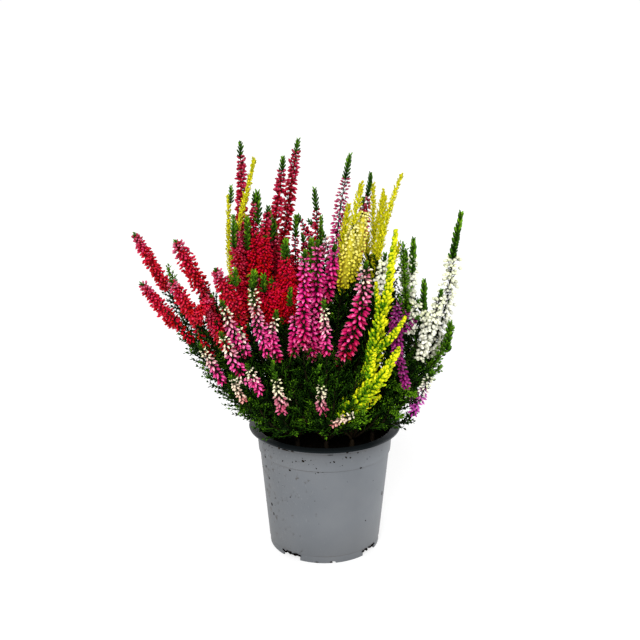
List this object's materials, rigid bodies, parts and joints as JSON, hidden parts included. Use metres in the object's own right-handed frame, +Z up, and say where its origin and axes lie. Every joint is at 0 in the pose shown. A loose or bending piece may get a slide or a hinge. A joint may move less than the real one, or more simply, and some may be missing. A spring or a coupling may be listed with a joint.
{
  "type": "potted heather",
  "caption": "Bushy mixed heather with upright budded sprays in red, pink, yellow, white and purple over fine dark leaves, rooted in peat in a round grey nursery pot.",
  "frame": {"origin": "middle of the pot's underside, on the pot's axis where it meets the ground", "axes": "+Z up along the pot's axis, -Y towards the plant's front, +X to the right seen from the front"},
  "size_m": [0.2215, 0.1504, 0.2934],
  "materials": {
    "pot": "satin moulded plastic",
    "peat": "rough crumbs of peat",
    "leaves": "fine scale leaves on woody stems",
    "red_buds": "satin petals",
    "pink_buds": "satin petals",
    "yellow_leaves": "scale leaves",
    "white_buds": "satin petals",
    "purple_buds": "satin petals"
  },
  "bodies": {
    "root": {"pot": "pot", "soil": "peat", "plant_pink_back": "leaves", "plant_pink_far": "leaves", "plant_pink_front": "leaves", "plant_pink_left": "leaves", "plant_purple_right": "leaves", "plant_red_back": "leaves", "plant_red_far": "leaves", "plant_red_left": "leaves", "plant_white_right": "leaves", "plant_yellow_back": "leaves", "plant_yellow_front": "leaves", "spray_far_pink_01": "pink_buds", "spray_far_pink_02": "pink_buds", "spray_far_purple_01": "purple_buds", "spray_far_red_01": "red_buds", "spray_far_red_02": "red_buds", "spray_far_red_03": "red_buds", "spray_far_white_01": "white_buds", "spray_far_yellow_01": "yellow_leaves", "spray_far_yellow_02": "yellow_leaves", "spray_pink_01": "pink_buds", "spray_pink_02": "pink_buds", "spray_pink_03": "pink_buds", "spray_pink_04": "pink_buds", "spray_pink_05": "pink_buds", "spray_pink_06": "pink_buds", "spray_pink_07": "pink_buds", "spray_pink_08": "pink_buds", "spray_pink_09": "pink_buds", "spray_pink_10": "pink_buds", "spray_pink_11": "pink_buds", "spray_pink_12": "pink_buds", "spray_pink_13": "pink_buds", "spray_purple_01": "purple_buds", "spray_purple_02": "purple_buds", "spray_red_01": "red_buds", "spray_red_02": "red_buds", "spray_red_03": "red_buds", "spray_red_04": "red_buds", "spray_red_05": "red_buds", "spray_red_06": "red_buds", "spray_red_07": "red_buds", "spray_red_08": "red_buds", "spray_red_09": "red_buds", "spray_red_10": "red_buds", "spray_red_11": "red_buds", "spray_red_12": "red_buds", "spray_white_01": "white_buds", "spray_white_02": "white_buds", "spray_white_03": "white_buds", "spray_white_04": "white_buds", "spray_yellow_01": "yellow_leaves", "spray_yellow_02": "yellow_leaves", "spray_yellow_03": "yellow_leaves", "spray_yellow_04": "yellow_leaves", "spray_yellow_05": "yellow_leaves", "spray_yellow_06": "yellow_leaves"}
  },
  "joints": []
}
